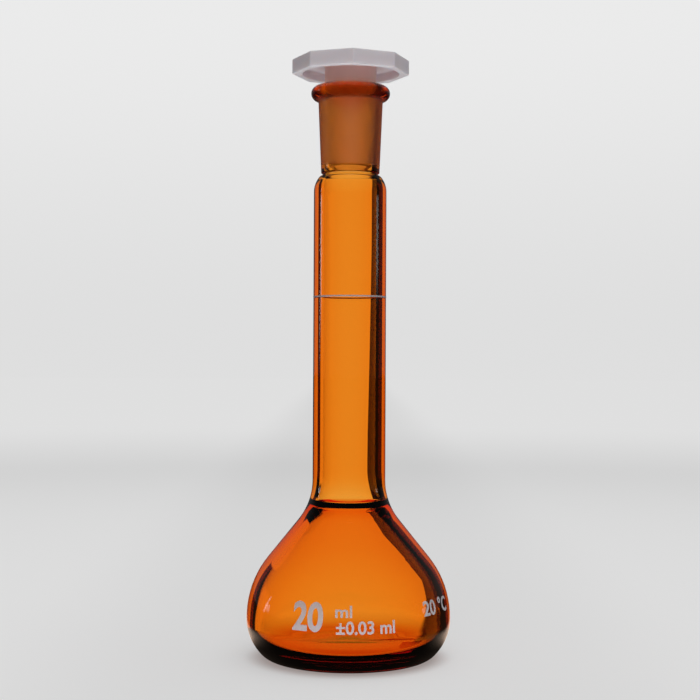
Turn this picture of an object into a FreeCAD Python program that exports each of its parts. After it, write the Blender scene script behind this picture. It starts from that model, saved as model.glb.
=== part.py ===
import FreeCAD, Part
import math
import os

# Volumetric flask of 20 ml: a blown glass body with a ground socket, its enamel ring mark and a stopper.
# The axis is Z. The origin is on the table, at the middle of the base. Lengths are in millimetres.

# Glass: main sizes
CAPACITY = 20000.0        # cubic millimetres held up to the ring mark
GLASS_HEIGHT = 110.0      # table to the rim
NECK_RADIUS = 7.0
NECK_WALL = 1.85
NECK_TOP = 89.6           # where the neck starts to close in towards the socket

# Glass: bulb, outside
BULB_RADIUS = 19.6
EQUATOR_HEIGHT = 7.8      # height of the widest circle, low on a volumetric bulb
FOOT_RADIUS = 14.2        # outer edge of the ring that touches the table
FOOT_WIDTH = 2.0          # width of that ring
PUSH_UP = 0.7             # rise of the underside from that ring to the axis
HEEL_RADIUS = 3.8
UPPER_ARC = 18.2          # profile radius above the equator
CONE_ANGLE = 38.9         # slope of the bulb's shoulder, from the axis
NECK_FILLET = 12.2        # profile radius where the shoulder runs up into the neck

# Glass: bulb, inside
BULB_WALL = 1.9           # at the equator
BASE_THICKNESS = 2.52     # on the axis, from the underside to the floor of the bulb
FLOOR_RISE = 0.5          # the floor follows the push-up
INNER_HEEL_RADIUS = 4.25
INNER_UPPER_ARC = 15.8
INNER_CONE_ANGLE = 40.2   # wider than outside, so the wall thickens towards the neck

# Glass: the seal of neck and bulb, where the flared neck ends in a lip inside the wall
FLARE_TOP = 36.0
FLARE_END = 30.2
FLARE_RADIUS = 6.25       # bore at the end of the flare
LIP_RADIUS = 5.05

# Glass: shoulder at the top of the neck, and the waist under the socket
SHOULDER_HEIGHT = 3.25
SHOULDER_END_RADIUS = 1.3
WAIST_RADIUS = 5.05
WAIST_GAP = 0.3           # open height of the groove between shoulder and socket
INNER_SHOULDER_FOOT = 91.4
INNER_SHOULDER_TOP = 92.6
THROAT_RADIUS = 4.2

# Glass: ground socket with a 1:10 taper, and its rim
SOCKET_RADIUS = 5.0       # bore at the rim
TAPER = 1.0 / 10.0        # change of diameter per length
SOCKET_FOOT_RADIUS = 5.62
SOCKET_TOP_RADIUS = 6.2
SOCKET_CHAMFER = 0.25
BEAD_RADIUS = 1.42
BEAD_OUTER_RADIUS = 7.6
MOUTH_CHAMFER = 0.5

# Enamel ring mark
RING_WIDTH = 0.35
RING_THICKNESS = 0.05

# Stopper
TOTAL_HEIGHT = 115.2
HEAD_THICKNESS = 2.95
HEAD_CORNERS = 8
HEAD_CORNER_RADIUS = 11.3
HEAD_TURN = 2.3           # degrees that the stopper was turned when it was put in
HEAD_CHAMFER = 0.25
ROOF_THICKNESS = 1.2
RECESS_RADIUS = 9.25
PLUG_BORE_RADIUS = 3.1
PLUG_END_HEIGHT = 94.5
PLUG_END_CHAMFER = 0.3
SEAT_CLEARANCE = 0.03     # radial gap between plug and socket

Z_AXIS = FreeCAD.Vector(0, 0, 1)
ORIGIN = FreeCAD.Vector(0, 0, 0)


def point(radius, height):
    """A point of a profile, in the half plane that is turned round the axis."""
    return FreeCAD.Vector(radius, 0, height)


def line(start, end):
    """A straight stretch of a profile between two (radius, height) pairs."""
    return Part.LineSegment(point(*start), point(*end)).toShape()


def arc(center, radius, first_angle, last_angle):
    """A round stretch of a profile. Angles are in degrees, from outward towards up."""
    spots = []
    for angle in (first_angle, (first_angle + last_angle) / 2, last_angle):
        turn = math.radians(angle)
        spots.append(point(center[0] + radius * math.cos(turn), center[1] + radius * math.sin(turn)))
    return Part.Arc(*spots).toShape()


def closing_corner(side, end, end_radius):
    """Two tangent arcs from a vertical wall at side to a level line at end, the second of end_radius."""
    across = side[0] - end[0]
    along = abs(end[1] - side[1])
    up = math.copysign(1, end[1] - side[1])
    side_radius = (across**2 + along**2 - 2 * along * end_radius) / (2 * (across - end_radius))
    turn = up * math.degrees(math.atan2(along - end_radius, side_radius - across))
    return [
        arc((side[0] - side_radius, side[1]), side_radius, 0, turn),
        arc((end[0], end[1] - up * end_radius), end_radius, turn, up * 90),
    ]


def upper_bulb(bulb_radius, upper_arc, cone_angle):
    """The arc above the equator, and the point where it runs into a cone."""
    slope = math.radians(cone_angle)
    center = (bulb_radius - upper_arc, EQUATOR_HEIGHT)
    cone_start = (center[0] + upper_arc * math.cos(slope), center[1] + upper_arc * math.sin(slope))
    return arc(center, upper_arc, 0, cone_angle), cone_start


def height_on_cone(cone_start, cone_angle, radius):
    """Height at which a cone that rises from cone_start has narrowed to a radius."""
    return cone_start[1] + (cone_start[0] - radius) / math.tan(math.radians(cone_angle))


def turned(edges):
    """The solid of revolution of a closed profile."""
    wire = Part.Wire(Part.sortEdges(edges)[0])
    return Part.Face(wire).revolve(ORIGIN, Z_AXIS, 360)


def taper_radius(height):
    """Bore of the ground socket at a height."""
    return SOCKET_RADIUS - (GLASS_HEIGHT - height) * TAPER / 2


# Heights and radii that follow from the driving dimensions
bore_radius = NECK_RADIUS - NECK_WALL
floor_top = PUSH_UP + BASE_THICKNESS
floor_edge = floor_top - FLOOR_RISE
shoulder_top = NECK_TOP + SHOULDER_HEIGHT
socket_foot = shoulder_top + WAIST_GAP
bead_center = (BEAD_OUTER_RADIUS - BEAD_RADIUS, GLASS_HEIGHT - BEAD_RADIUS)


def outside_of_bulb():
    """Profile from the axis under the base, over the foot, heel and shoulder, to the top of the neck."""
    foot_inner_radius = FOOT_RADIUS - FOOT_WIDTH
    slope = math.radians(CONE_ANGLE)
    shoulder, cone_start = upper_bulb(BULB_RADIUS, UPPER_ARC, CONE_ANGLE)
    cone_end_radius = NECK_RADIUS + NECK_FILLET * (1 - math.cos(slope))
    cone_end = (cone_end_radius, height_on_cone(cone_start, CONE_ANGLE, cone_end_radius))
    neck_start = cone_end[1] + NECK_FILLET * math.sin(slope)
    return [
        line((0, PUSH_UP), (foot_inner_radius, 0)),
        line((foot_inner_radius, 0), (FOOT_RADIUS, 0)),
        *closing_corner((BULB_RADIUS, EQUATOR_HEIGHT), (FOOT_RADIUS, 0), HEEL_RADIUS),
        shoulder,
        line(cone_start, cone_end),
        arc((NECK_RADIUS + NECK_FILLET, neck_start), NECK_FILLET, 180, 180 + CONE_ANGLE),
        line((NECK_RADIUS, neck_start), (NECK_RADIUS, NECK_TOP)),
    ]


def inside_of_bulb():
    """Profile from the axis on the floor, over the heel and the lip of the seal, to the straight bore."""
    wall = BULB_RADIUS - BULB_WALL
    heel_center = (wall - INNER_HEEL_RADIUS, floor_edge + INNER_HEEL_RADIUS)
    shoulder, cone_start = upper_bulb(wall, INNER_UPPER_ARC, INNER_CONE_ANGLE)
    lip = (LIP_RADIUS, height_on_cone(cone_start, INNER_CONE_ANGLE, LIP_RADIUS))
    drop = FLARE_TOP - FLARE_END
    widening = FLARE_RADIUS - bore_radius
    flare_arc = (drop**2 + widening**2) / (2 * widening)
    flare_angle = math.degrees(math.asin(drop / flare_arc))
    return [
        line((0, floor_top), (heel_center[0], floor_edge)),
        arc(heel_center, INNER_HEEL_RADIUS, -90, 0),
        line((wall, heel_center[1]), (wall, EQUATOR_HEIGHT)),
        shoulder,
        line(cone_start, lip),
        line(lip, (FLARE_RADIUS, FLARE_END)),
        arc((bore_radius + flare_arc, FLARE_TOP), flare_arc, 180, 180 + flare_angle),
    ]


def ring_height():
    """Height at which the flask holds its capacity: the bulb up to the flare and a column in the neck."""
    edges = inside_of_bulb()
    edges.append(line((bore_radius, FLARE_TOP), (0, FLARE_TOP)))
    edges.append(line((0, FLARE_TOP), (0, floor_top)))
    column = CAPACITY - turned(edges).Volume
    return FLARE_TOP + column / (math.pi * bore_radius**2)


def outside_of_socket():
    """Profile from the top of the neck over its shoulder, in to the waist and up the socket to the rim."""
    chamfer_radius = SOCKET_FOOT_RADIUS - SOCKET_CHAMFER
    chamfer_top = socket_foot + SOCKET_CHAMFER
    meeting_across = SOCKET_TOP_RADIUS - bead_center[0]
    meeting_drop = math.sqrt(BEAD_RADIUS**2 - meeting_across**2)
    meeting_angle = -math.degrees(math.atan2(meeting_drop, meeting_across))
    return [
        *closing_corner((NECK_RADIUS, NECK_TOP), (WAIST_RADIUS, shoulder_top), SHOULDER_END_RADIUS),
        line((WAIST_RADIUS, shoulder_top), (WAIST_RADIUS, socket_foot)),
        line((WAIST_RADIUS, socket_foot), (chamfer_radius, socket_foot)),
        line((chamfer_radius, socket_foot), (SOCKET_FOOT_RADIUS, chamfer_top)),
        line((SOCKET_FOOT_RADIUS, chamfer_top), (SOCKET_TOP_RADIUS, bead_center[1] - meeting_drop)),
        arc(bead_center, BEAD_RADIUS, meeting_angle, 90),
    ]


def inside_of_socket():
    """Profile from the rim over the mouth, down the ground taper and the throat, to the straight bore."""
    mouth_height = GLASS_HEIGHT - MOUTH_CHAMFER
    mouth_radius = taper_radius(mouth_height)
    return [
        line((bead_center[0], GLASS_HEIGHT), (mouth_radius + MOUTH_CHAMFER, GLASS_HEIGHT)),
        line((mouth_radius + MOUTH_CHAMFER, GLASS_HEIGHT), (mouth_radius, mouth_height)),
        line((mouth_radius, mouth_height), (taper_radius(socket_foot), socket_foot)),
        line((taper_radius(socket_foot), socket_foot), (THROAT_RADIUS, INNER_SHOULDER_TOP)),
        line((THROAT_RADIUS, INNER_SHOULDER_TOP), (bore_radius, INNER_SHOULDER_FOOT)),
        line((bore_radius, INNER_SHOULDER_FOOT), (bore_radius, FLARE_TOP)),
    ]


def flask_body():
    """The whole glass, turned as one wall of varying thickness."""
    edges = outside_of_bulb() + outside_of_socket() + inside_of_socket() + inside_of_bulb()
    edges.append(line((0, floor_top), (0, PUSH_UP)))
    return turned(edges)


def ring_mark():
    """The enamel line that lies on the neck all the way round."""
    height = ring_height() - RING_WIDTH / 2
    outer = Part.makeCylinder(NECK_RADIUS + RING_THICKNESS, RING_WIDTH, point(0, height))
    return outer.cut(Part.makeCylinder(NECK_RADIUS, RING_WIDTH, point(0, height)))


def stopper_head():
    """The octagonal cap with chamfered edges and a round recess underneath."""
    bottom = TOTAL_HEIGHT - HEAD_THICKNESS
    corners = []
    for index in range(HEAD_CORNERS + 1):
        turn = math.radians(index * 360 / HEAD_CORNERS + HEAD_TURN)
        corners.append(FreeCAD.Vector(
            HEAD_CORNER_RADIUS * math.cos(turn), HEAD_CORNER_RADIUS * math.sin(turn), bottom))
    prism = Part.Face(Part.makePolygon(corners)).extrude(Z_AXIS * HEAD_THICKNESS)
    prism = prism.makeChamfer(HEAD_CHAMFER, prism.Edges)
    recess_depth = HEAD_THICKNESS - ROOF_THICKNESS
    return prism.cut(Part.makeCylinder(RECESS_RADIUS, recess_depth, point(0, bottom)))


def stopper_plug():
    """The hollow taper plug, open at the bottom, with the plain shank between socket and cap."""
    roof = TOTAL_HEIGHT - ROOF_THICKNESS
    chamfer_top = PLUG_END_HEIGHT + PLUG_END_CHAMFER
    end_outer = taper_radius(chamfer_top) - SEAT_CLEARANCE
    shank_radius = SOCKET_RADIUS - SEAT_CLEARANCE
    return turned([
        line((PLUG_BORE_RADIUS, PLUG_END_HEIGHT), (end_outer - PLUG_END_CHAMFER, PLUG_END_HEIGHT)),
        line((end_outer - PLUG_END_CHAMFER, PLUG_END_HEIGHT), (end_outer, chamfer_top)),
        line((end_outer, chamfer_top), (shank_radius, GLASS_HEIGHT)),
        line((shank_radius, GLASS_HEIGHT), (shank_radius, roof)),
        line((shank_radius, roof), (PLUG_BORE_RADIUS, roof)),
        line((PLUG_BORE_RADIUS, roof), (PLUG_BORE_RADIUS, PLUG_END_HEIGHT)),
    ])


def stopper():
    """Cap and plug, moulded in one."""
    return stopper_head().fuse(stopper_plug()).removeSplitter()


os.makedirs("parts", exist_ok=True)
for name, shape in (("flask_body", flask_body()), ("ring_mark", ring_mark()), ("stopper", stopper())):
    print(name, "solids", len(shape.Solids), "valid", shape.isValid(), "volume", round(shape.Volume, 2))
    shape.exportStep("parts/" + name + ".step")
print("ring mark at", round(ring_height(), 3))
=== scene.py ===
import bpy
import bmesh
import math
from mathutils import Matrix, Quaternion, Vector


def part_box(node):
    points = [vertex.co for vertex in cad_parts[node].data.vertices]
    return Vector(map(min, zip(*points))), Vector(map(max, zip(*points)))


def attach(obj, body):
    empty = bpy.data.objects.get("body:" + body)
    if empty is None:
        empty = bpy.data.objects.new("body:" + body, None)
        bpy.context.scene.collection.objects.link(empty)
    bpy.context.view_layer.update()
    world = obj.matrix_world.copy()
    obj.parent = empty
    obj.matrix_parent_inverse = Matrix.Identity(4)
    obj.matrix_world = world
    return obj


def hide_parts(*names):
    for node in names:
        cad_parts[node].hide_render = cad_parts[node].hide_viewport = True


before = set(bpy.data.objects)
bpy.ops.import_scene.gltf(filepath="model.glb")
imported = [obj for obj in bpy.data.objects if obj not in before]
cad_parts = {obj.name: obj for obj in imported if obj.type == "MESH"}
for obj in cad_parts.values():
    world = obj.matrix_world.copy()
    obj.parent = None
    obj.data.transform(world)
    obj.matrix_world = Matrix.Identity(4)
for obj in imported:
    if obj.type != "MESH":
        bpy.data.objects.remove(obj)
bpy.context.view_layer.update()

# Volumetric flask of 20 ml in amber glass, dressed over its solids.
# Lengths are in metres, along the part's own axes, and angles are in degrees.

MM = 0.001

# Glass, the same sizes as the solid
GLASS_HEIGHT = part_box("flask_body")[1].z
BULB_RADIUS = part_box("flask_body")[1].x
NECK_RADIUS = 7.0 * MM
NECK_WALL = 1.85 * MM
NECK_TOP = 89.6 * MM
EQUATOR_HEIGHT = 7.8 * MM
FOOT_RADIUS = 14.2 * MM
FOOT_WIDTH = 2.0 * MM
PUSH_UP = 0.7 * MM
HEEL_RADIUS = 3.8 * MM
UPPER_ARC = 18.2 * MM
CONE_ANGLE = 38.9
NECK_FILLET = 12.2 * MM
BULB_WALL = 1.9 * MM
BASE_THICKNESS = 2.52 * MM
FLOOR_RISE = 0.5 * MM
INNER_HEEL_RADIUS = 4.25 * MM
INNER_UPPER_ARC = 15.8 * MM
INNER_CONE_ANGLE = 40.2
FLARE_TOP = 36.0 * MM
FLARE_END = 30.2 * MM
FLARE_RADIUS = 6.25 * MM
LIP_RADIUS = 5.05 * MM
SHOULDER_HEIGHT = 3.25 * MM
SHOULDER_END_RADIUS = 1.3 * MM
WAIST_RADIUS = 5.05 * MM
WAIST_GAP = 0.3 * MM
INNER_SHOULDER_FOOT = 91.4 * MM
INNER_SHOULDER_TOP = 92.6 * MM
THROAT_RADIUS = 4.2 * MM
SOCKET_RADIUS = 5.0 * MM
TAPER = 1.0 / 10.0
SOCKET_FOOT_RADIUS = 5.62 * MM
SOCKET_TOP_RADIUS = 6.2 * MM
BEAD_RADIUS = 1.42 * MM
BEAD_OUTER_RADIUS = 7.6 * MM
MOUTH_CHAMFER = 0.5 * MM

# Small rounds of the fire-polished glass
LIP_ROUND = 0.5 * MM
SEAL_ROUND = 0.2 * MM
EDGE_ROUND = 0.12 * MM
BEAD_FILLET = 0.35 * MM

# Ring mark and figures
RING_HEIGHT = (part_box("ring_mark")[0].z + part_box("ring_mark")[1].z) / 2
RING_WIDTH = 0.3 * MM
RING_FLAT = 0.7           # share of the line's width that lies between its rounded edges
ENAMEL_GAP = 0.006 * MM   # between glass and enamel
ENAMEL_THICKNESS = 0.035 * MM
LETTER_HALF_DEPTH = 0.5   # of the flat letters, as a share of their size
LETTER_CURVE_STEPS = 5
LETTER_WELD = 1e-4        # points closer than this share of the letters' size are joined
FIGURE_FACET = 0.1        # facet of a figure, as a share of the letters' size

# Each figure's name, text, bearings from the front, heights in millimetres and added weight
FIGURES = (
    ("figure_volume", "20", (-31.2, -13.5), (8.3, 13.6), 0.03),
    ("figure_unit", "ml", (-7.0, 2.1), (11.0, 13.1), 0.02),
    ("figure_tolerance", "±0.03 ml", (-6.4, 25.5), (8.0, 10.4), 0.02),
    ("figure_temperature", "20 °C", (46.0, 72.5), (10.2, 13.1), 0.02),
)

# Stopper
TOTAL_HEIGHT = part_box("stopper")[1].z
HEAD_THICKNESS = 2.95 * MM
HEAD_CORNERS = 8
HEAD_CORNER_RADIUS = 11.3 * MM
HEAD_TURN = 2.3
HEAD_EDGE_ROUND = 0.28 * MM
HEAD_CORNER_ROUND = 0.5 * MM
LEAST_CORNER_ROUND = 0.05 * MM
MOULD_ROUND = 0.2 * MM
ROOF_THICKNESS = 1.2 * MM
RECESS_RADIUS = 9.25 * MM
PLUG_BORE_RADIUS = 3.1 * MM
PLUG_END_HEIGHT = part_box("stopper")[0].z
PLUG_END_CHAMFER = 0.3 * MM
PLUG_END_BULGE = (0.1 * MM, 0.21 * MM)  # a point between its ends, in and down from its start
SEAT_CLEARANCE = 0.03 * MM
PLUG_LIMIT = 5.15 * MM    # the hollow plug and shank lie inside this radius

# Facets
ARC_STEP = 4.0            # degrees of profile per facet
ROUND_FACETS = 5          # across a small round
NECK_FACETS = 24          # along the neck and its bore
STRETCH_FACETS = 8        # along other straight stretches
CONE_FACETS = 4
THROAT_FACETS = 3
PLUG_FACETS = 6
LATHE_SEGMENTS = 192
CORNER_FACETS = 6         # round each corner of the cap
SIDE_FACETS = 12          # along each side of the cap
EDGE_ANGLES = (0, 30, 60, 90)
TOP_RINGS = (0.3, 0.6, 0.85)  # on the cap's top, as shares of its corner radius
SHARP_ANGLE = 40.0        # edges sharper than this stay crisp

# Colours are red, green, blue and alpha. A grain is a noise's scale, per metre, and its detail.
# A step is where it starts and ends, with its levels there if they aren't zero and one.
WHITE = (1, 1, 1, 1)

# Amber glass, ground inside the socket and less clear outside it
GLASS_INDEX = 1.473
AMBER = (0.975, 0.70, 0.04, 1)
AMBER_DENSITY = 1235.0    # per metre of glass
GROUND_LIMIT = 5.02 * MM  # the ground taper lies inside this radius
GROUND_FOOT = (PLUG_END_HEIGHT, PLUG_END_HEIGHT + 0.5 * MM)
GROUND_TOP = (GLASS_HEIGHT - 0.8 * MM, GLASS_HEIGHT - 0.5 * MM)
GROUND_ROUGHNESS = 0.3
MATT_LIMIT = 5.3 * MM     # the outside of the socket lies beyond this radius
MATT_FOOT = (PLUG_END_HEIGHT - 0.2 * MM, PLUG_END_HEIGHT + 0.3 * MM)
MATT_TOP = (GLASS_HEIGHT - 3.0 * MM, GLASS_HEIGHT - 2.2 * MM)
MATT_ROUGHNESS = 0.4

# Enamel
GRAIN_DEPTH = 0.02 * MM
ENAMEL_GRAIN = (4000.0, 3.0)
ENAMEL_BUMP = 0.2
ENAMEL_DARK = (0.44, 0.43, 0.46, 1)
ENAMEL_LIGHT = (0.60, 0.59, 0.62, 1)
ENAMEL_ROUGHNESS = 0.4
ENAMEL_COVER = 0.65       # the rest of the light passes through

# Polyethylene
CLOUD_GRAIN = (250.0, 2.0)
MOULD_GRAIN = (6000.0, 4.0)
MOULD_BUMP = 0.25
CAP_DARK = (0.77, 0.72, 0.76, 1)
CAP_LIGHT = (0.83, 0.78, 0.82, 1)
CAP_ROUGHNESS = (0.3, 0.7, 0.36, 0.48)  # over the values of the cloudy noise
# The plug and the shank carry painted amber light from the glass, most on the shank above the glass
PLUG_TONE_WITH_PAINTED_AMBER = (0.95, 0.78, 0.77, 1)
SHANK_TONE_WITH_PAINTED_AMBER = (0.97, 0.62, 0.56, 1)
SHANK_PAINTED_AMBER_STEP = (GLASS_HEIGHT - 5.0 * MM, GLASS_HEIGHT - 0.5 * MM)
PLUG_CLEARNESS = (GLASS_HEIGHT - MM, GLASS_HEIGHT, 0.85, 0.2)
PLUG_ROUGHNESS = 0.3
MILKINESS = 0.5
MILK_REACH = (1.0, 0.8, 0.7)  # how far red, green and blue spread, as shares of the depth
MILK_DEPTH = 2.0 * MM

# Studio light by direction: azimuths run from straight behind the flask to the right, and elevations up
# from level. A range is where it starts and ends, and how soft its ends are.
BACKDROP = (0.0, 14.0, 0.735, 0.83)
OVERHEAD_STEP = (30.0, 70.0)
BEHIND_STEP = (40.0, 75.0, 1.0, 0.0)
FRONT_STEP = (138.0, 170.0)

# Light on matt surfaces
ROOM_LIGHT = 0.03
OVERHEAD_LIGHT = 0.9
BEHIND_LIGHT = 0.08
FRONT_LIGHT = 1.0
RIGHT_LIGHT = 0.5         # share by which light from the right is stronger, and from the left weaker

# Light in reflections
LEFT_STRIP = (-80.0, -72.0, 1.0)
RIGHT_STRIP = (79.0, 88.0, 1.5)
RIGHT_STRIP_FOOT = (1.5, 4.0)
STRIP_FOOT = (0.0, 4.0)
STRIP_TOP = (6.4, 7.2)
SCREEN_EDGE = (-71.5, -69.5, 0.6)
SCREEN_HEIGHT = (0.0, 13.0, 1.0)
SCREEN_SLANT = 0.5        # degrees that the screen's edge leans to the left per degree of elevation
ROOM_GLOSS = 0.04
LEFT_STRIP_GLOSS = 1.8
RIGHT_STRIP_GLOSS = 1.5
SCREEN_GLOSS = 2.5
BEHIND_GLOSS = 0.06
OVERHEAD_GLOSS = 0.03

# Light seen through the glass
ONE_WALL = 3              # light along one wall has passed through no more surfaces than this
EMPTY_VESSEL = 5          # and light across the vessel, clear of the plug, through no more than this
MIRRORINGS_KEPT = 3       # along one wall; light across the vessel has one more
COUNT_MARGIN = 0.5        # counts are compared half way between two whole numbers
CLEARNESS = 0.98
PLUG_LIGHT = 1.0          # light behind the plug
FIELD = (-25.0, 16.0, 1.5)
WINDOW = (-65.0, -46.0, 2.0)
FACING_STEP = (155.0, 160.0)
FIELD_DARK = 0.012
FIELD_LIGHT = 0.97
ACROSS_HEIGHT = (-30.0, 24.0, 4.0)
RETURNED_STEP = (85.0, 105.0)
RETURNED_LOSS = 0.7
ALONG_HEIGHT = (-30.0, 11.5, 2.0)
CORNER_BAND = (-2.4, 7.7, 0.6)
CORNER_WIDTH = (-45.0, -21.0, 2.0)
CORNER_SLOPE = 0.55       # elevation that the bright corner drops by per degree of azimuth

# Floor: its sizes, its matt grey, which keeps the flask's cast shadow, a painted shadow round the foot
# tinted by painted amber light, a painted soft shade in a band running front to back through the flask, and
# the glow that carries it into the background
FLOOR_REACH = 3.0
FLOOR_DROP = 0.02 * MM
FLOOR_GREY = (0.76, 0.76, 0.76, 1)
CONTACT_SHADOW = (15.5 * MM, 20.5 * MM, 0.68, 1.0)
CONTACT_SHADOW_AMBER_LIGHT = (1, 0.7, 0.6, 1)
WIDE_SHADOW = (30.0 * MM, 80.0 * MM, 0.91, 1.0)
FLOOR_GLOW = (100.0 * MM, 500.0 * MM, 1.09, 0.74)
GLOW_SHARE = (100.0 * MM, 900.0 * MM, 0.43, 1.0)

# Floor: the light that it throws up, and its reflection in the glass with a bright patch behind the flask
THROWN_CENTER = (0.0, -30.0 * MM, 0.0)
THROWN_LIGHT = (50.0 * MM, 140.0 * MM, 3.0, 0.05)
PATCH_FRONT = (-12.0 * MM, 12.0 * MM)
PATCH_SIDE = (28.0 * MM, 36.0 * MM, 1.0, 0.0)
PATCH_RANGE = (23.0 * MM, 90.0 * MM, 4.0 * MM)
REFLECTION_DARK = 0.03
PATCH_LIGHT = 0.9
REFLECTION_TINT = (1, 0.72, 0.55, 1)

# Floor seen through the glass: a painted dark part in front of the card, painted shade near and under the
# flask, less light where it was mirrored inside the glass, and painted amber light under the flask
DARK_FOOT = 12.5 * MM     # the dark part's near side is this far to the right of the axis
DARK_LEAN = 0.245         # and runs out to the right at this slope towards the card
DARK_EDGE = 1.0 * MM      # half the width of its soft edges
DARK_FRONT = (-5.0 * MM, 5.0 * MM)
DARK_SIDE = (55.0 * MM, 65.0 * MM, 1.0, 0.0)
DARK_LOSS = 0.99
UNDER_FLASK_SHADE = (0.0, 55.0 * MM, 0.72, 1.0)
FRONT_FLOOR = (-25.0 * MM, -12.0 * MM, 1.0, 0.0)
FRONT_FLOOR_LOSS = 0.75
ONCE_SIDE = (10.0 * MM, 11.0 * MM)
BACK_FLOOR = (24.0 * MM, 30.0 * MM)
BACK_FLOOR_LOSS = 0.95
ALONG_FLOOR_SHADE = (40.0 * MM, 55.0 * MM)
AMBER_LIGHT_REACH = (12.0 * MM, 30.0 * MM)
PAINTED_AMBER_LIGHT_TINT = (1, 0.5, 0.18, 1)

# Dark card behind the flask on the right: its distance, its far side and, in millimetres, the corners of its
# near edge
CARD_BACK = 90.0 * MM
CARD_REACH = 220.0 * MM
CARD_EDGE = ((35, 0), (35, 12), (28, 19.5), (21, 22), (22, 38), (32, 86), (32, 102))
CARD_LIGHT = 0.01

# Camera, worked out from the photograph of 700 by 700 pixels
IMAGE_SIZE = 700
FOCAL_PIXELS = 1440.0     # distance of the flask's axis in the photograph's pixels
PIXEL = 0.193 * MM        # size of a pixel at the flask's axis
HORIZON_ROW = 353.0
BASE_ROW = 656.0
AXIS_COLUMN = 349.0       # the axis at mid height
ROLL = 0.26               # degrees that the flask leans to the right
SENSOR_WIDTH = 36.0

# Light paths long enough for the walls and the plug
MOST_BOUNCES = 24
GLOSSY_BOUNCES = 12


def part_way(start, end, share):
    """The value a share of the way from start to end."""
    return start + (end - start) * share


def arc(center, radius, first_angle, last_angle):
    """Points of a round stretch of a profile, without its last one."""
    count = max(2, math.ceil(abs(last_angle - first_angle) / ARC_STEP))
    points = []
    for index in range(count):
        turn = math.radians(part_way(first_angle, last_angle, index / count))
        points.append((center[0] + radius * math.cos(turn), center[1] + radius * math.sin(turn)))
    return points


def straight(start, end, count):
    """Points of a straight stretch, without its last one."""
    shares = [index / count for index in range(count)]
    return [(part_way(start[0], end[0], share), part_way(start[1], end[1], share)) for share in shares]


def rounded(before, corner, after, radius):
    """Points of a small arc in place of a corner between two straight stretches."""
    corner = Vector(corner)
    back = (Vector(before) - corner).normalized()
    onward = (Vector(after) - corner).normalized()
    half = back.angle(onward) / 2
    center = corner + (back + onward).normalized() * radius / math.sin(half)
    start = corner + back * radius / math.tan(half) - center
    end = corner + onward * radius / math.tan(half) - center
    shares = [index / ROUND_FACETS for index in range(ROUND_FACETS + 1)]
    return [tuple(center + radius * start.slerp(end, share)) for share in shares]


def closing_corner(side, end, end_radius):
    """Two tangent arcs from a vertical wall at side to a level line at end, ending at end."""
    across = side[0] - end[0]
    along = abs(end[1] - side[1])
    up = math.copysign(1, end[1] - side[1])
    side_radius = (across**2 + along**2 - 2 * along * end_radius) / (2 * (across - end_radius))
    turn = up * math.degrees(math.atan2(along - end_radius, side_radius - across))
    points = arc((side[0] - side_radius, side[1]), side_radius, 0, turn)
    points += arc((end[0], end[1] - up * end_radius), end_radius, turn, up * 90)
    return points + [end]


def upper_bulb(bulb_radius, upper_arc, cone_angle):
    """The arc above the equator, and the point where it runs into a cone."""
    slope = math.radians(cone_angle)
    center = (bulb_radius - upper_arc, EQUATOR_HEIGHT)
    cone_start = (center[0] + upper_arc * math.cos(slope), center[1] + upper_arc * math.sin(slope))
    return arc(center, upper_arc, 0, cone_angle), cone_start


def height_on_cone(cone_start, cone_angle, radius):
    """Height at which a cone that rises from cone_start has narrowed to a radius."""
    return cone_start[1] + (cone_start[0] - radius) / math.tan(math.radians(cone_angle))


def taper_radius(height):
    """Bore of the ground socket at a height."""
    return SOCKET_RADIUS - (GLASS_HEIGHT - height) * TAPER / 2


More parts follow.
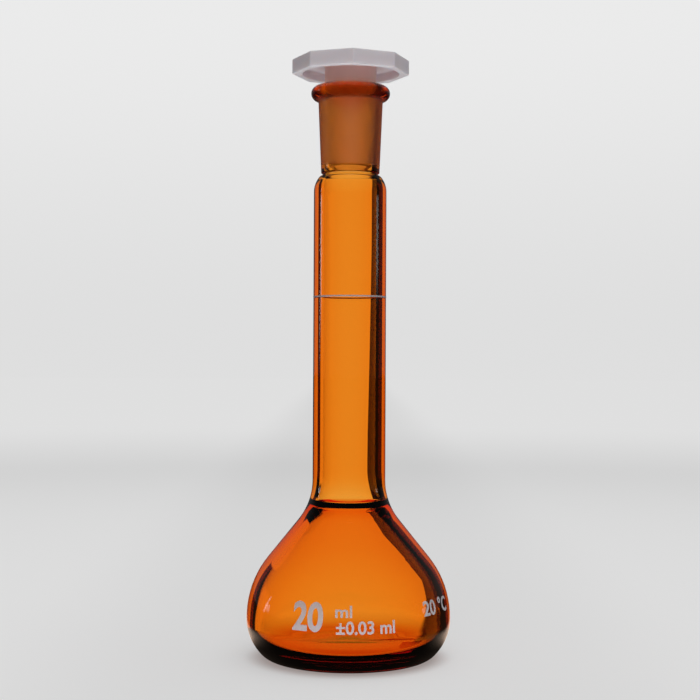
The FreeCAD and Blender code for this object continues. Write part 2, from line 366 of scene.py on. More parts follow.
def outside_of_glass():
    """Profile from the axis under the base, over bulb, neck and socket, to the top of the rim."""
    foot_inner = (FOOT_RADIUS - FOOT_WIDTH, 0)
    slope = math.radians(CONE_ANGLE)
    shoulder, cone_start = upper_bulb(BULB_RADIUS, UPPER_ARC, CONE_ANGLE)
    cone_end_radius = NECK_RADIUS + NECK_FILLET * (1 - math.cos(slope))
    cone_end = (cone_end_radius, height_on_cone(cone_start, CONE_ANGLE, cone_end_radius))
    neck_start = cone_end[1] + NECK_FILLET * math.sin(slope)
    shoulder_top = NECK_TOP + SHOULDER_HEIGHT
    socket_foot = shoulder_top + WAIST_GAP
    bead_center = (BEAD_OUTER_RADIUS - BEAD_RADIUS, GLASS_HEIGHT - BEAD_RADIUS)
    fillet_offset = SOCKET_TOP_RADIUS + BEAD_FILLET - bead_center[0]
    wall_top = bead_center[1] - math.sqrt((BEAD_RADIUS + BEAD_FILLET)**2 - fillet_offset**2)
    meeting = math.degrees(math.atan2(wall_top - bead_center[1], fillet_offset))
    waist_foot = (WAIST_RADIUS, shoulder_top)
    waist_top = (WAIST_RADIUS, socket_foot)
    corner = (SOCKET_FOOT_RADIUS, socket_foot)
    wall_end = (SOCKET_TOP_RADIUS, wall_top)

    points = straight((0, PUSH_UP), foot_inner, STRETCH_FACETS)
    points += [foot_inner]
    points += closing_corner((BULB_RADIUS, EQUATOR_HEIGHT), (FOOT_RADIUS, 0), HEEL_RADIUS)[::-1]
    points += shoulder[1:]
    points += straight(cone_start, cone_end, CONE_FACETS)
    points += arc((NECK_RADIUS + NECK_FILLET, neck_start), NECK_FILLET, 180 + CONE_ANGLE, 180)
    points += straight((NECK_RADIUS, neck_start), (NECK_RADIUS, NECK_TOP), NECK_FACETS)
    points += closing_corner((NECK_RADIUS, NECK_TOP), waist_foot, SHOULDER_END_RADIUS)[:-1]
    points += rounded((NECK_RADIUS, shoulder_top), waist_foot, waist_top, EDGE_ROUND)
    points += rounded(waist_foot, waist_top, corner, EDGE_ROUND)
    points += rounded(waist_top, corner, wall_end, 2 * EDGE_ROUND)
    points += straight(corner, wall_end, STRETCH_FACETS)[1:]
    points += arc((SOCKET_TOP_RADIUS + BEAD_FILLET, wall_top), BEAD_FILLET, 180, 180 + meeting)
    points += arc(bead_center, BEAD_RADIUS, meeting, 90)
    return points + [(bead_center[0], GLASS_HEIGHT)]


def inside_of_glass():
    """Profile from the rim down the ground socket, neck and bulb to the axis on the floor."""
    socket_foot = NECK_TOP + SHOULDER_HEIGHT + WAIST_GAP
    mouth_height = GLASS_HEIGHT - MOUTH_CHAMFER
    mouth = (taper_radius(mouth_height), mouth_height)
    mouth_edge = (mouth[0] + MOUTH_CHAMFER, GLASS_HEIGHT)
    throat_top = (taper_radius(socket_foot), socket_foot)
    throat_end = (THROAT_RADIUS, INNER_SHOULDER_TOP)
    bore = NECK_RADIUS - NECK_WALL
    bore_top = (bore, INNER_SHOULDER_FOOT)
    drop = FLARE_TOP - FLARE_END
    widening = FLARE_RADIUS - bore
    flare_arc = (drop**2 + widening**2) / (2 * widening)
    flare_angle = math.degrees(math.asin(drop / flare_arc))
    wall = BULB_RADIUS - BULB_WALL
    floor_top = PUSH_UP + BASE_THICKNESS
    floor_edge = floor_top - FLOOR_RISE
    heel_center = (wall - INNER_HEEL_RADIUS, floor_edge + INNER_HEEL_RADIUS)
    shoulder, cone_start = upper_bulb(wall, INNER_UPPER_ARC, INNER_CONE_ANGLE)
    lip = (LIP_RADIUS, height_on_cone(cone_start, INNER_CONE_ANGLE, LIP_RADIUS))
    flare_end = (FLARE_RADIUS, FLARE_END)
    flare = arc((bore + flare_arc, FLARE_TOP), flare_arc, 180, 180 + flare_angle)

    points = rounded((BEAD_OUTER_RADIUS, GLASS_HEIGHT), mouth_edge, mouth, MOUTH_CHAMFER / 2)
    points += rounded(mouth_edge, mouth, throat_top, MOUTH_CHAMFER / 2)
    points += straight(mouth, throat_top, STRETCH_FACETS)[1:]
    points += straight(throat_top, throat_end, THROAT_FACETS)
    points += rounded(throat_top, throat_end, bore_top, SEAL_ROUND)[1:]
    points += rounded(throat_end, bore_top, (bore, FLARE_TOP), SEAL_ROUND)
    points += straight(bore_top, (bore, FLARE_TOP), NECK_FACETS)[1:]
    points += flare
    points += rounded(flare[-1], flare_end, lip, SEAL_ROUND)
    points += rounded(flare_end, lip, cone_start, LIP_ROUND)
    points += straight(cone_start, lip, STRETCH_FACETS)[:0:-1]
    points += [cone_start] + shoulder[::-1]
    points += arc(heel_center, INNER_HEEL_RADIUS, 0, -90)
    points += straight((heel_center[0], floor_edge), (0, floor_top), STRETCH_FACETS)
    return points + [(0, floor_top)]


def link_piece(name, mesh):
    """A new object in the scene for a mesh."""
    piece = bpy.data.objects.new(name, mesh)
    bpy.context.scene.collection.objects.link(piece)
    return piece


def finish_mesh(name, verts, faces):
    """A piece with smooth faces and crisp sharp edges."""
    mesh = bpy.data.meshes.new(name)
    mesh.from_pydata(verts, [], faces)
    mesh.polygons.foreach_set("use_smooth", [True] * len(mesh.polygons))
    mesh.set_sharp_from_angle(angle=math.radians(SHARP_ANGLE))
    mesh.update()
    return link_piece(name, mesh)


def circle(radius, height):
    """A level circle of points round the axis."""
    turns = [2 * math.pi * index / LATHE_SEGMENTS for index in range(LATHE_SEGMENTS)]
    return [(radius * math.cos(turn), radius * math.sin(turn), height) for turn in turns]


def skin(name, rings, first=None, last=None):
    """A closed mesh through rings of points, closed at points on the axis or back to the first ring."""
    count = len(rings[0])
    verts = [vertex for ring in rings for vertex in ring]
    faces = []
    for ring in range(len(rings) if first is None else len(rings) - 1):
        low = ring * count
        high = (ring + 1) % len(rings) * count
        for index in range(count):
            after = (index + 1) % count
            faces.append((low + index, low + after, high + after, high + index))
    if first is not None:
        verts.append((0, 0, first))
        verts.append((0, 0, last))
        top = (len(rings) - 1) * count
        for index in range(count):
            after = (index + 1) % count
            faces.append((len(verts) - 2, after, index))
            faces.append((len(verts) - 1, top + index, top + after))
    return finish_mesh(name, verts, faces)


def glass_body():
    """The whole glass as one wall, from the axis underneath over the rim to the axis inside."""
    profile = outside_of_glass() + inside_of_glass()
    rings = [circle(radius, height) for radius, height in profile[1:-1]]
    return skin("amber_flask", rings, profile[0][1], profile[-1][1])


def ring_line():
    """The enamel line round the neck, a flat band with rounded edges."""
    inner = NECK_RADIUS + ENAMEL_GAP
    outer = inner + ENAMEL_THICKNESS
    half = RING_WIDTH / 2
    flat = RING_FLAT * half
    section = [(inner, -half), (outer, -flat), (outer, flat), (inner, half)]
    return skin("ring_line", [circle(radius, RING_HEIGHT + height) for radius, height in section])


def bulb_radius_at(height):
    """Outer radius of the bulb at a height above its equator."""
    return BULB_RADIUS - UPPER_ARC + math.sqrt(UPPER_ARC**2 - (height - EQUATOR_HEIGHT)**2)


def flat_letters(name, text, weight):
    """A mesh of thick flat letters in the size of the typeface."""
    curve = bpy.data.curves.new(name, "FONT")
    curve.body = text
    curve.extrude = LETTER_HALF_DEPTH
    curve.offset = weight
    curve.resolution_u = LETTER_CURVE_STEPS
    letters = bpy.data.objects.new(name, curve)
    mesh = bpy.data.meshes.new_from_object(letters)
    bpy.data.objects.remove(letters)
    return mesh


def cut_facets(shape, axis):
    """Cuts letters across an axis, finely enough to bend them, and gives their two ends along it."""
    reach = [vertex.co.dot(axis) for vertex in shape.verts]
    start = min(reach)
    end = max(reach)
    cuts = math.ceil((end - start) / FIGURE_FACET)
    for index in range(1, cuts):
        place = axis * part_way(start, end, index / cuts)
        everything = [*shape.verts, *shape.edges, *shape.faces]
        bmesh.ops.bisect_plane(shape, geom=everything, plane_co=place, plane_no=axis)
    return start, end


def figures(name, text, bearings, heights, weight):
    """Enamel figures on the bulb, between two bearings from the front and two heights in millimetres."""
    mesh = flat_letters(name, text, weight)
    shape = bmesh.new()
    shape.from_mesh(mesh)
    bmesh.ops.remove_doubles(shape, verts=shape.verts, dist=LETTER_WELD)
    left, right = cut_facets(shape, Vector((1, 0, 0)))
    bottom, top = cut_facets(shape, Vector((0, 1, 0)))
    for vertex in shape.verts:
        turn = math.radians(part_way(*bearings, (vertex.co.x - left) / (right - left)))
        height = part_way(*heights, (vertex.co.y - bottom) / (top - bottom)) * MM
        proud = ENAMEL_GAP + ENAMEL_THICKNESS * (vertex.co.z + LETTER_HALF_DEPTH)
        radius = bulb_radius_at(height) + proud
        vertex.co = (radius * math.sin(turn), -radius * math.cos(turn), height)
    bmesh.ops.recalc_face_normals(shape, faces=shape.faces)
    shape.to_mesh(mesh)
    shape.free()
    return link_piece(name, mesh)


def octagon(inset, height):
    """The cap's outline with rounded corners, drawn in by inset."""
    side_turn = math.pi / HEAD_CORNERS
    apothem = HEAD_CORNER_RADIUS * math.cos(side_turn) - inset
    corner_round = max(HEAD_CORNER_ROUND - inset, LEAST_CORNER_ROUND)
    corner_radius = (apothem - corner_round) / math.cos(side_turn)
    points = []
    for corner in range(HEAD_CORNERS):
        middle = math.radians(HEAD_TURN) + 2 * side_turn * corner
        center = Vector((corner_radius * math.cos(middle), corner_radius * math.sin(middle)))
        for index in range(CORNER_FACETS + 1):
            turn = middle + side_turn * (2 * index / CORNER_FACETS - 1)
            points.append(center + corner_round * Vector((math.cos(turn), math.sin(turn))))
        after = middle + 2 * side_turn
        next_center = Vector((corner_radius * math.cos(after), corner_radius * math.sin(after)))
        normal = corner_round * Vector((math.cos(middle + side_turn), math.sin(middle + side_turn)))
        for index in range(1, SIDE_FACETS):
            points.append(center.lerp(next_center, index / SIDE_FACETS) + normal)
    return [(point.x, point.y, height) for point in points]


def rounded_edge(angle, edge_height, up):
    """The cap's outline at an angle round its top edge, with up at 1, or its bottom edge, at -1."""
    turn = math.radians(angle)
    inset = HEAD_EDGE_ROUND * (1 - math.cos(turn))
    return octagon(inset, edge_height - up * HEAD_EDGE_ROUND * (1 - math.sin(turn)))


def below_cap(cap_bottom, roof):
    """Profile from the cap's underside through the recess, down the plug and up its bore."""
    shank = SOCKET_RADIUS - SEAT_CLEARANCE
    end_top = PLUG_END_HEIGHT + PLUG_END_CHAMFER
    end_radius = taper_radius(end_top) - SEAT_CLEARANCE
    cap_edge = (HEAD_CORNER_RADIUS, cap_bottom)
    recess_edge = (RECESS_RADIUS, cap_bottom)
    recess_roof = (RECESS_RADIUS, roof)
    shank_top = (shank, roof)
    shank_foot = (shank, GLASS_HEIGHT)
    plug_end = (end_radius, end_top)
    bore_edge = (PLUG_BORE_RADIUS, PLUG_END_HEIGHT)
    bore_roof = (PLUG_BORE_RADIUS, roof)

    points = rounded(cap_edge, recess_edge, recess_roof, MOULD_ROUND)
    points += rounded(recess_edge, recess_roof, shank_top, 2 * MOULD_ROUND)
    points += rounded(recess_roof, shank_top, shank_foot, 2 * MOULD_ROUND)
    points += [(shank, GLASS_HEIGHT + MOULD_ROUND)]
    points += straight(shank_foot, plug_end, PLUG_FACETS)
    points += [plug_end]
    points += [(end_radius - PLUG_END_BULGE[0], end_top - PLUG_END_BULGE[1])]
    points += [(end_radius - PLUG_END_CHAMFER, PLUG_END_HEIGHT)]
    points += rounded((end_radius, PLUG_END_HEIGHT), bore_edge, bore_roof, MOULD_ROUND)
    points += rounded(bore_edge, bore_roof, (0, roof), 2 * MOULD_ROUND)
    return points


def stopper_body():
    """The moulded stopper: cap, recess, shank and hollow plug in one skin."""
    cap_bottom = TOTAL_HEIGHT - HEAD_THICKNESS
    roof = TOTAL_HEIGHT - ROOF_THICKNESS
    bearings = [math.atan2(y, x) for x, y, height in octagon(0, 0)]

    def ring(radius, height):
        return [(radius * math.cos(turn), radius * math.sin(turn), height) for turn in bearings]

    rings = [ring(share * HEAD_CORNER_RADIUS, TOTAL_HEIGHT) for share in TOP_RINGS]
    rings += [rounded_edge(angle, TOTAL_HEIGHT, 1) for angle in EDGE_ANGLES[::-1]]
    rings += [rounded_edge(angle, cap_bottom, -1) for angle in EDGE_ANGLES]
    rings += [ring(radius, height) for radius, height in below_cap(cap_bottom, roof)]
    return skin("moulded_stopper", rings[::-1], roof, TOTAL_HEIGHT)


def node_tree(owner):
    """An empty node tree on a material or world."""
    owner.use_nodes = True
    owner.node_tree.nodes.clear()
    return owner.node_tree


def add(tree, kind, inputs=None, **settings):
    """A node with its settings, input values and links."""
    node = tree.nodes.new(kind)
    for key, value in settings.items():
        setattr(node, key, value)
    for key, value in (inputs or {}).items():
        if isinstance(value, bpy.types.NodeSocket):
            tree.links.new(value, node.inputs[key])
        else:
            node.inputs[key].default_value = value
    return node


def new_material(name):
    """A material, its empty node tree and its output."""
    material = bpy.data.materials.new(name)
    tree = node_tree(material)
    return material, tree, add(tree, "ShaderNodeOutputMaterial")


def math_node(tree, operation, first, second=0.0):
    """The result of a sum on two values or sockets."""
    return add(tree, "ShaderNodeMath", {0: first, 1: second}, operation=operation).outputs[0]


def product(tree, *factors):
    """The product of values or sockets."""
    level = factors[0]
    for factor in factors[1:]:
        level = math_node(tree, "MULTIPLY", level, factor)
    return level


def total(tree, base, *parts):
    """A base level and weighted parts added to it, each a pair of a socket and its weight."""
    level = base
    for socket, weight in parts:
        level = add(
            tree, "ShaderNodeMath", {0: socket, 1: weight, 2: level}, operation="MULTIPLY_ADD").outputs[0]
    return level


def less(tree, flag, loss):
    """One, less a loss where a flag is set."""
    return total(tree, 1.0, (flag, -loss))


def ramp(tree, value, low, high, start=0.0, end=1.0):
    """A soft step from start to end while value goes from low to high."""
    node = add(
        tree, "ShaderNodeMapRange",
        {"Value": value, "From Min": low, "From Max": high, "To Min": start, "To Max": end},
        interpolation_type="SMOOTHSTEP")
    return node.outputs["Result"]


def between(tree, value, rise, fall):
    """One between a soft step up and a soft step down, and zero outside."""
    return product(tree, ramp(tree, value, *rise), ramp(tree, value, *fall, 1.0, 0.0))


def sector(tree, value, start, end, soft):
    """One inside a range and zero outside, with soft ends."""
    return between(tree, value, (start - soft, start + soft), (end - soft, end + soft))


def choose(tree, flag, otherwise, when):
    """One of two values, picked by a flag."""
    node = add(tree, "ShaderNodeMix", {"Factor": flag, "A": otherwise, "B": when}, data_type="FLOAT")
    return node.outputs[0]


def blend_colors(tree, factor, first, second):
    """A colour between two others."""
    node = add(tree, "ShaderNodeMix", {"Factor": factor, "A": first, "B": second}, data_type="RGBA")
    return node.outputs["Result"]


def mixed(tree, factor, first, second):
    """A shader between two others."""
    return add(tree, "ShaderNodeMixShader", {0: factor, 1: first.outputs[0], 2: second.outputs[0]})


def around_axis(tree):
    """Distance from the axis and height of a place on a piece."""
    place = add(tree, "ShaderNodeTexCoord")
    split = add(tree, "ShaderNodeSeparateXYZ", {0: place.outputs["Object"]})
    flat = add(tree, "ShaderNodeCombineXYZ", {"X": split.outputs["X"], "Y": split.outputs["Y"]})
    radius = add(tree, "ShaderNodeVectorMath", {0: flat.outputs[0]}, operation="LENGTH").outputs["Value"]
    return radius, split.outputs["Z"]


def mottle(tree, scale, detail):
    """A fine noise over the piece, in its own coordinates."""
    place = add(tree, "ShaderNodeTexCoord").outputs["Object"]
    noise = add(tree, "ShaderNodeTexNoise", {"Vector": place, "Scale": scale, "Detail": detail})
    return noise.outputs["Fac"]


def bumps(tree, grain, strength):
    """The surface's direction, unsettled by a fine noise."""
    node = add(tree, "ShaderNodeBump", {"Height": grain, "Strength": strength, "Distance": GRAIN_DEPTH})
    return node.outputs[0]


def amber_glass():
    """Clear amber glass, matt where the socket is ground inside and over the same height outside."""
    material, tree, output = new_material("amber_glass")
    radius, height = around_axis(tree)
    inner = math_node(tree, "LESS_THAN", radius, GROUND_LIMIT)
    ground = product(tree, between(tree, height, GROUND_FOOT, GROUND_TOP), inner)
    outer = math_node(tree, "GREATER_THAN", radius, MATT_LIMIT)
    matt = product(tree, between(tree, height, MATT_FOOT, MATT_TOP), outer)
    roughness = total(tree, 0.0, (ground, GROUND_ROUGHNESS), (matt, MATT_ROUGHNESS))
    shader = add(tree, "ShaderNodeBsdfPrincipled", {"Roughness": roughness})
    shader.inputs["Base Color"].default_value = WHITE
    shader.inputs["IOR"].default_value = GLASS_INDEX
    shader.inputs["Transmission Weight"].default_value = 1.0
    absorb = add(tree, "ShaderNodeVolumeAbsorption")
    absorb.inputs["Color"].default_value = AMBER
    absorb.inputs["Density"].default_value = AMBER_DENSITY
    tree.links.new(shader.outputs[0], output.inputs["Surface"])
    tree.links.new(absorb.outputs[0], output.inputs["Volume"])
    return material


def enamel():
    """Thin fired enamel that lets a little of the glass's colour through."""
    material, tree, output = new_material("white_enamel")
    grain = mottle(tree, *ENAMEL_GRAIN)
    tone = blend_colors(tree, grain, ENAMEL_DARK, ENAMEL_LIGHT)
    normal = bumps(tree, grain, ENAMEL_BUMP)
    shader = add(tree, "ShaderNodeBsdfPrincipled", {"Base Color": tone, "Normal": normal})
    shader.inputs["Roughness"].default_value = ENAMEL_ROUGHNESS
    shader.inputs["Alpha"].default_value = ENAMEL_COVER
    tree.links.new(shader.outputs[0], output.inputs["Surface"])
    return material


def polyethylene():
    """Milky polyethylene with the fine grain of a mould, clearer in the plug.
    The plug carries painted amber light from the glass, and the shank above the glass carries more.
    """
    material, tree, output = new_material("natural_polyethylene")
    cloud = mottle(tree, *CLOUD_GRAIN)
    grain = mottle(tree, *MOULD_GRAIN)
    radius, height = around_axis(tree)
    inner = math_node(tree, "LESS_THAN", radius, PLUG_LIMIT)
    under_roof = math_node(tree, "LESS_THAN", height, TOTAL_HEIGHT - ROOF_THICKNESS / 2)
    plug = product(tree, inner, under_roof)
    cap_tone = blend_colors(tree, cloud, CAP_DARK, CAP_LIGHT)
    plug_tone_with_painted_amber = blend_colors(tree, ramp(tree, height, *SHANK_PAINTED_AMBER_STEP), PLUG_TONE_WITH_PAINTED_AMBER, SHANK_TONE_WITH_PAINTED_AMBER)
    surface = {
        "Base Color": blend_colors(tree, plug, cap_tone, plug_tone_with_painted_amber),
        "Normal": bumps(tree, grain, MOULD_BUMP),
        "Roughness": choose(tree, plug, ramp(tree, cloud, *CAP_ROUGHNESS), PLUG_ROUGHNESS),
        "Transmission Weight": product(tree, plug, ramp(tree, height, *PLUG_CLEARNESS)),
    }
    shader = add(tree, "ShaderNodeBsdfPrincipled", surface)
    shader.inputs["Subsurface Weight"].default_value = MILKINESS
    shader.inputs["Subsurface Radius"].default_value = MILK_REACH
    shader.inputs["Subsurface Scale"].default_value = MILK_DEPTH
    tree.links.new(shader.outputs[0], output.inputs["Surface"])
    return material


def crossed(tree, surfaces):
    """One for light that has passed through more than a number of surfaces, else zero.

    Light that ran along one wall only has passed through two, light across the empty vessel through
    four, and light across the plug as well through eight.
    """
    path = add(tree, "ShaderNodeLightPath")
    return math_node(tree, "GREATER_THAN", path.outputs["Transmission Depth"], surfaces + COUNT_MARGIN)


def mirrored(tree, times):
    """One for light that has been mirrored at least this many times inside the glass, else zero."""
    path = add(tree, "ShaderNodeLightPath")
    return math_node(tree, "GREATER_THAN", path.outputs["Glossy Depth"], times - COUNT_MARGIN)


def seen_through(tree, along, across):
    """What shows through the glass: light that has been mirrored too often inside it is lost."""
    path = add(tree, "ShaderNodeLightPath")
    vessel = crossed(tree, ONE_WALL)
    most = math_node(tree, "ADD", vessel, MIRRORINGS_KEPT + COUNT_MARGIN)
    kept = math_node(tree, "LESS_THAN", path.outputs["Glossy Depth"], most)
    level = choose(tree, vessel, along, across)
    level = choose(tree, crossed(tree, EMPTY_VESSEL), level, PLUG_LIGHT)
    return product(tree, level, kept, CLEARNESS)


def ahead(tree, azimuth):
    """Light that ran along one wall: a bright field behind, a window on the left and the open front."""
    field = sector(tree, azimuth, *FIELD)
    window = sector(tree, azimuth, *WINDOW)
    turned = math_node(tree, "ABSOLUTE", azimuth)
    facing = product(tree, ramp(tree, turned, *FACING_STEP), less(tree, mirrored(tree, 1), 1.0))
    return total(tree, FIELD_DARK, (field, FIELD_LIGHT), (window, FIELD_LIGHT), (facing, FIELD_LIGHT))


def matt_light(tree, azimuth, overhead, behind, front):
    """Light on matt surfaces: a wide soft box overhead, the bright ground behind and a lamp in front."""
    light = total(
        tree, ROOM_LIGHT, (overhead, OVERHEAD_LIGHT), (behind, BEHIND_LIGHT), (front, FRONT_LIGHT))
    right = math_node(tree, "SINE", math_node(tree, "RADIANS", azimuth))
    return product(tree, light, total(tree, 1.0, (right, RIGHT_LIGHT)))


def reflected_light(tree, azimuth, elevation, overhead, behind):
    """Reflections: a strip light on each side of a dim room, and the edge of a screen on the left."""
    strips = between(tree, elevation, STRIP_FOOT, STRIP_TOP)
    left_strip = product(tree, sector(tree, azimuth, *LEFT_STRIP), strips)
    right_strip = product(
        tree, sector(tree, azimuth, *RIGHT_STRIP), strips, ramp(tree, elevation, *RIGHT_STRIP_FOOT))
    slant = total(tree, azimuth, (elevation, SCREEN_SLANT))
    screen = product(
        tree, sector(tree, slant, *SCREEN_EDGE), sector(tree, elevation, *SCREEN_HEIGHT))
    return total(
        tree, ROOM_GLOSS, (left_strip, LEFT_STRIP_GLOSS), (right_strip, RIGHT_STRIP_GLOSS),
        (screen, SCREEN_GLOSS), (behind, BEHIND_GLOSS), (overhead, OVERHEAD_GLOSS))


def light_through_glass(tree, azimuth, elevation, turned):
    """The studio seen through the vessel, and seen along one wall only."""
    returned = product(tree, mirrored(tree, 1), ramp(tree, turned, *RETURNED_STEP))
    across = product(tree, sector(tree, elevation, *ACROSS_HEIGHT), less(tree, returned, RETURNED_LOSS))
    along = product(tree, ahead(tree, azimuth), sector(tree, elevation, *ALONG_HEIGHT))
    rise = total(tree, elevation, (azimuth, CORNER_SLOPE))
    corner = product(tree, sector(tree, rise, *CORNER_BAND), sector(tree, azimuth, *CORNER_WIDTH))
    return seen_through(tree, math_node(tree, "MAXIMUM", along, corner), across)


def make_world():
    """The studio: pale to the camera, a bright field behind the flask with dark flags beside it."""
    world = bpy.data.worlds.new("studio")
    bpy.context.scene.world = world
    tree = node_tree(world)
    output = add(tree, "ShaderNodeOutputWorld")
    path = add(tree, "ShaderNodeLightPath")
    place = add(tree, "ShaderNodeTexCoord")
    split = add(tree, "ShaderNodeSeparateXYZ", {0: place.outputs["Generated"]})
    azimuth = math_node(tree, "DEGREES", math_node(tree, "ARCTAN2", split.outputs["X"], split.outputs["Y"]))
    elevation = math_node(tree, "DEGREES", math_node(tree, "ARCSINE", split.outputs["Z"]))
    turned = math_node(tree, "ABSOLUTE", azimuth)
    overhead = ramp(tree, elevation, *OVERHEAD_STEP)
    behind = ramp(tree, turned, *BEHIND_STEP)
    front = ramp(tree, turned, *FRONT_STEP)

    level = matt_light(tree, azimuth, overhead, behind, front)
    gloss = reflected_light(tree, azimuth, elevation, overhead, behind)
    clear = light_through_glass(tree, azimuth, elevation, turned)
    level = choose(tree, path.outputs["Is Glossy Ray"], level, gloss)
    level = choose(tree, path.outputs["Is Transmission Ray"], level, clear)
    level = choose(tree, path.outputs["Is Camera Ray"], level, ramp(tree, elevation, *BACKDROP))
    background = add(tree, "ShaderNodeBackground", {"Strength": level})
    background.inputs["Color"].default_value = WHITE
    tree.links.new(background.outputs[0], output.inputs["Surface"])


def pale_floor(tree, distance, sideways):
    """The floor to the camera: the flask's cast shadow on pale grey that fades into the background,
    with a painted shadow and painted amber light round the flask's foot, and painted soft shade in a band
    through the flask.
    """
    matt = add(tree, "ShaderNodeBsdfDiffuse")
    matt.inputs["Color"].default_value = FLOOR_GREY
    painted_contact_shadow = ramp(tree, distance, *CONTACT_SHADOW)
    lit = product(tree, painted_contact_shadow, ramp(tree, sideways, *WIDE_SHADOW), ramp(tree, distance, *FLOOR_GLOW))
    painted_amber_tint = blend_colors(tree, painted_contact_shadow, CONTACT_SHADOW_AMBER_LIGHT, WHITE)
    glow = add(tree, "ShaderNodeEmission", {"Color": painted_amber_tint, "Strength": lit})
    return mixed(tree, ramp(tree, distance, *GLOW_SHARE), matt, glow)


def thrown_light(tree, place):
    """Light that the floor throws up at matt surfaces, the stopper most of all."""
    apart = add(tree, "ShaderNodeVectorMath", {0: place, 1: THROWN_CENTER}, operation="DISTANCE")
    return add(tree, "ShaderNodeEmission", {"Strength": ramp(tree, apart.outputs["Value"], *THROWN_LIGHT)})


def reflected_floor(tree, back, distance, sideways):
    """A dim reflection of the floor in the glass, with a bright patch behind the flask."""
    patch = product(
        tree, ramp(tree, back, *PATCH_FRONT), ramp(tree, sideways, *PATCH_SIDE),
        sector(tree, distance, *PATCH_RANGE))
    dim = add(tree, "ShaderNodeEmission", {"Strength": total(tree, REFLECTION_DARK, (patch, PATCH_LIGHT))})
    dim.inputs["Color"].default_value = REFLECTION_TINT
    return dim


def floor_across(tree, right, back, distance):
    """The floor's level across the vessel: dark before the card and where light was mirrored inside, and in
    painted shade under the flask.
    """
    side = total(tree, right, (back, -DARK_LEAN))
    dark = product(
        tree, ramp(tree, side, DARK_FOOT - DARK_EDGE, DARK_FOOT + DARK_EDGE),
        ramp(tree, back, CARD_BACK - DARK_EDGE, CARD_BACK + DARK_EDGE, 1.0, 0.0),
        ramp(tree, back, *DARK_FRONT), ramp(tree, right, *DARK_SIDE))
    returned = product(tree, mirrored(tree, 1), ramp(tree, back, *FRONT_FLOOR))
    twice = math_node(tree, "SUBTRACT", mirrored(tree, 2), mirrored(tree, 3))
    once = math_node(tree, "SUBTRACT", mirrored(tree, 1), mirrored(tree, 2))
    few = total(tree, twice, (once, ramp(tree, right, *ONCE_SIDE)))
    lost = product(tree, few, ramp(tree, back, *BACK_FLOOR))
    return product(
        tree, less(tree, dark, DARK_LOSS), ramp(tree, distance, *UNDER_FLASK_SHADE),
        less(tree, returned, FRONT_FLOOR_LOSS), less(tree, lost, BACK_FLOOR_LOSS))


def floor_along(tree, right, back, distance):
    """The floor's level along one wall only, by its direction from the nearest part of the bulb's width, and
    in painted shade near the flask.
    """
    inside = add(tree, "ShaderNodeClamp", {"Value": right, "Min": -BULB_RADIUS, "Max": BULB_RADIUS})
    beyond = math_node(tree, "SUBTRACT", right, inside.outputs[0])
    turn = math_node(tree, "DEGREES", math_node(tree, "ARCTAN2", beyond, back))
    return product(tree, ahead(tree, turn), ramp(tree, distance, *ALONG_FLOOR_SHADE))


def floor_through_glass(tree, right, back, distance):
    """The floor seen through the glass, with painted amber light right under it."""
    along = floor_along(tree, right, back, distance)
    across = floor_across(tree, right, back, distance)
    painted_amber_tint = blend_colors(tree, ramp(tree, distance, *AMBER_LIGHT_REACH), PAINTED_AMBER_LIGHT_TINT, WHITE)
    level = seen_through(tree, along, across)
    return add(tree, "ShaderNodeEmission", {"Color": painted_amber_tint, "Strength": level})


def floor_material():
    """A floor that looks different to the camera, to matt surfaces, in reflections and through glass."""
    material, tree, output = new_material("floor")
    path = add(tree, "ShaderNodeLightPath")
    place = add(tree, "ShaderNodeTexCoord").outputs["Object"]
    distance = add(tree, "ShaderNodeVectorMath", {0: place}, operation="LENGTH").outputs["Value"]
    split = add(tree, "ShaderNodeSeparateXYZ", {0: place})
    right = split.outputs["X"]
    back = split.outputs["Y"]
    sideways = math_node(tree, "ABSOLUTE", right)
    blend = pale_floor(tree, distance, sideways)
    blend = mixed(tree, path.outputs["Is Diffuse Ray"], blend, thrown_light(tree, place))
    reflection = reflected_floor(tree, back, distance, sideways)
    blend = mixed(tree, path.outputs["Is Glossy Ray"], blend, reflection)
    seen = floor_through_glass(tree, right, back, distance)
    blend = mixed(tree, path.outputs["Is Transmission Ray"], blend, seen)
    tree.links.new(blend.outputs[0], output.inputs["Surface"])
    return material


def card_material():
    """Dark to light that has crossed the empty vessel, and clear to all other light."""
    material, tree, output = new_material("card")
    path = add(tree, "ShaderNodeLightPath")
    away = add(tree, "ShaderNodeBsdfTransparent")
    dark = add(tree, "ShaderNodeEmission")
    dark.inputs["Strength"].default_value = CARD_LIGHT
    vessel = math_node(tree, "SUBTRACT", crossed(tree, ONE_WALL), crossed(tree, EMPTY_VESSEL))
    flag = product(tree, path.outputs["Is Transmission Ray"], vessel)
    tree.links.new(mixed(tree, flag, away, dark).outputs[0], output.inputs["Surface"])
    return material


def flat_sheet(name, corners, material):
    """One flat face through its corners."""
    mesh = bpy.data.meshes.new(name)
    mesh.from_pydata(corners, [], [tuple(range(len(corners)))])
    mesh.materials.append(material)
    return link_piece(name, mesh)


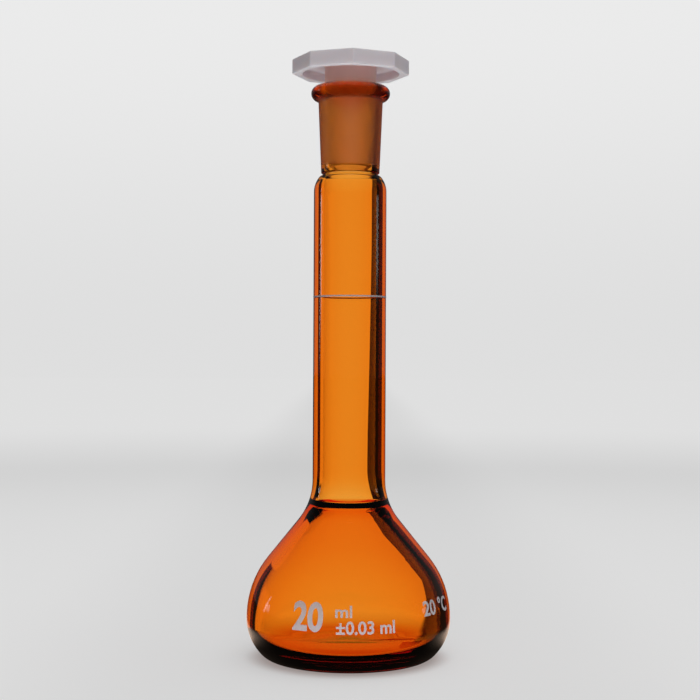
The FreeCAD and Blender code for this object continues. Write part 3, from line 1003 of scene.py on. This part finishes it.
def make_floor():
    """A wide pale floor, a hair below the flask's foot."""
    signs = ((-1, -1), (1, -1), (1, 1), (-1, 1))
    corners = [(across * FLOOR_REACH, along * FLOOR_REACH, 0) for across, along in signs]
    floor = flat_sheet("floor", corners, floor_material())
    floor.location.z = -FLOOR_DROP


def make_card():
    """A dark card behind the flask on the right."""
    corners = [(across * MM, CARD_BACK, height * MM) for across, height in CARD_EDGE]
    corners += [(CARD_REACH, CARD_BACK, corners[-1][2]), (CARD_REACH, CARD_BACK, 0)]
    card = flat_sheet("card", corners, card_material())


def make_camera():
    """A level camera in front of the flask, at the photograph's place."""
    data = bpy.data.cameras.new("camera")
    data.sensor_width = SENSOR_WIDTH
    data.lens = FOCAL_PIXELS / IMAGE_SIZE * SENSOR_WIDTH
    camera = bpy.data.objects.new("camera", data)
    bpy.context.scene.collection.objects.link(camera)
    middle = (IMAGE_SIZE - 1) / 2
    height = (BASE_ROW - HORIZON_ROW) * PIXEL
    camera.location = ((middle - AXIS_COLUMN) * PIXEL, -FOCAL_PIXELS * PIXEL, height)
    tilt = math.atan((HORIZON_ROW - middle) / FOCAL_PIXELS)
    level = Quaternion((1, 0, 0), math.pi / 2 + tilt)
    camera.rotation_mode = "QUATERNION"
    camera.rotation_quaternion = level @ Quaternion((0, 0, 1), math.radians(ROLL))
    bpy.context.scene.camera = camera


def dress(piece, material, slot, body, *replaced):
    """Gives a piece its material and the body it rides on, and hides the nodes it stands for; the slot is
    not used.
    """
    piece.data.materials.clear()
    piece.data.materials.append(material)
    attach(piece, body)
    if replaced:
        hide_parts(*replaced)


dress(glass_body(), amber_glass(), "amber_glass", "flask", "flask_body")
dress(stopper_body(), polyethylene(), "natural_polyethylene", "stopper", "stopper")

white = enamel()
dress(ring_line(), white, "white_enamel", "flask", "ring_mark")
for figure in FIGURES:
    dress(figures(*figure), white, "white_enamel", "flask")

make_world()
make_floor()
make_card()
make_camera()

scene = bpy.context.scene
scene.view_settings.view_transform = "Standard"
scene.cycles.max_bounces = MOST_BOUNCES
scene.cycles.transmission_bounces = MOST_BOUNCES
scene.cycles.glossy_bounces = GLOSSY_BOUNCES
